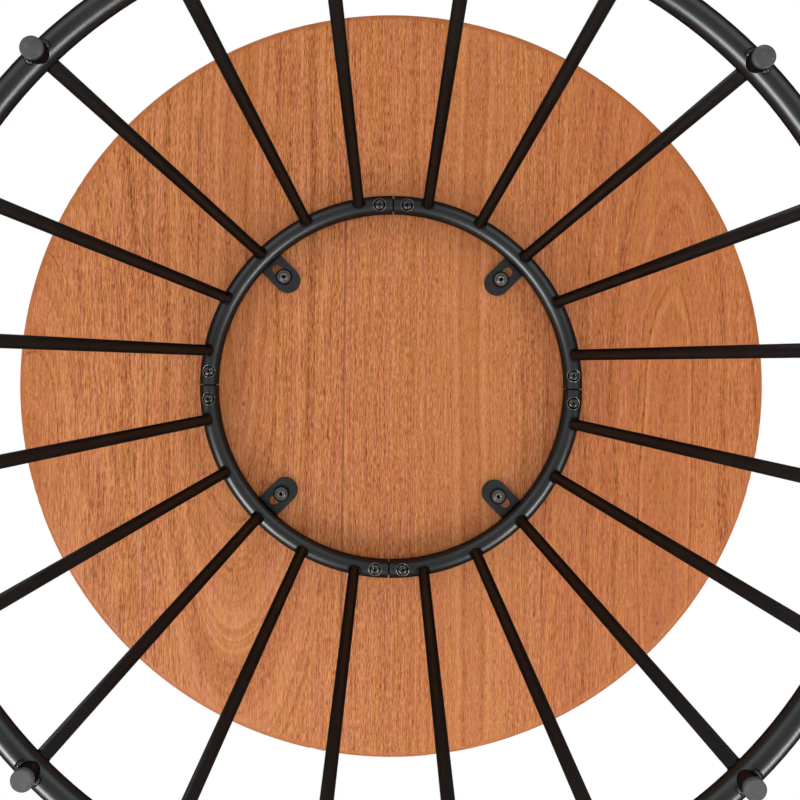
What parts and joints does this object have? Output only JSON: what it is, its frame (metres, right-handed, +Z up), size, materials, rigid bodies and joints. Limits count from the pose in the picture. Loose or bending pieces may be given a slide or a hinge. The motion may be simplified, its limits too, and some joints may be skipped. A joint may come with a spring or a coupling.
{
  "type": "round table",
  "caption": "Low round table: an edge-glued solid wood top on a tapered knock-down base of straight steel rods between two bent tube rings, standing on short round feet.",
  "frame": {"origin": "on the floor, below the centre of the round top", "axes": "+Z up; the base's seams lie on X and Y, its feet and tabs at 45 degrees; the boards run along Y"},
  "size_m": [0.8, 0.8, 0.45],
  "materials": {
    "wood": "oiled solid wood",
    "powder_coat": "satin black powder coat",
    "grey_screw_steel": "grey plated steel",
    "black_screw_steel": "black oxide",
    "black_washer": "black plated steel",
    "plain_steel": "plain oiled steel",
    "glide_plastic": "moulded charcoal plastic"
  },
  "bodies": {
    "root": {"foot_glide_1": "glide_plastic", "foot_glide_2": "glide_plastic", "foot_glide_3": "glide_plastic", "foot_glide_4": "glide_plastic", "foot_stub_1": "powder_coat", "foot_stub_2": "powder_coat", "foot_stub_3": "powder_coat", "foot_stub_4": "powder_coat", "lower_ring_quarter_1": "powder_coat", "lower_ring_quarter_2": "powder_coat", "lower_ring_quarter_3": "powder_coat", "lower_ring_quarter_4": "powder_coat", "lower_splice_bar_1": "plain_steel", "lower_splice_bar_2": "plain_steel", "lower_splice_bar_3": "plain_steel", "lower_splice_bar_4": "plain_steel", "mounting_tab_1": "powder_coat", "mounting_tab_2": "powder_coat", "mounting_tab_3": "powder_coat", "mounting_tab_4": "powder_coat", "rod_01": "powder_coat", "rod_02": "powder_coat", "rod_03": "powder_coat", "rod_04": "powder_coat", "rod_05": "powder_coat", "rod_06": "powder_coat", "rod_07": "powder_coat", "rod_08": "powder_coat", "rod_09": "powder_coat", "rod_10": "powder_coat", "rod_11": "powder_coat", "rod_12": "powder_coat", "rod_13": "powder_coat", "rod_14": "powder_coat", "rod_15": "powder_coat", "rod_16": "powder_coat", "rod_17": "powder_coat", "rod_18": "powder_coat", "rod_19": "powder_coat", "rod_20": "powder_coat", "splice_screws": "black_screw_steel", "tab_screws": "grey_screw_steel", "tab_washers": "black_washer", "threaded_inserts": "plain_steel", "top_board_1": "wood", "top_board_2": "wood", "top_board_3": "wood", "top_board_4": "wood", "upper_ring_quarter_1": "powder_coat", "upper_ring_quarter_2": "powder_coat", "upper_ring_quarter_3": "powder_coat", "upper_ring_quarter_4": "powder_coat", "upper_splice_bar_1": "plain_steel", "upper_splice_bar_2": "plain_steel", "upper_splice_bar_3": "plain_steel", "upper_splice_bar_4": "plain_steel"}
  },
  "joints": []
}
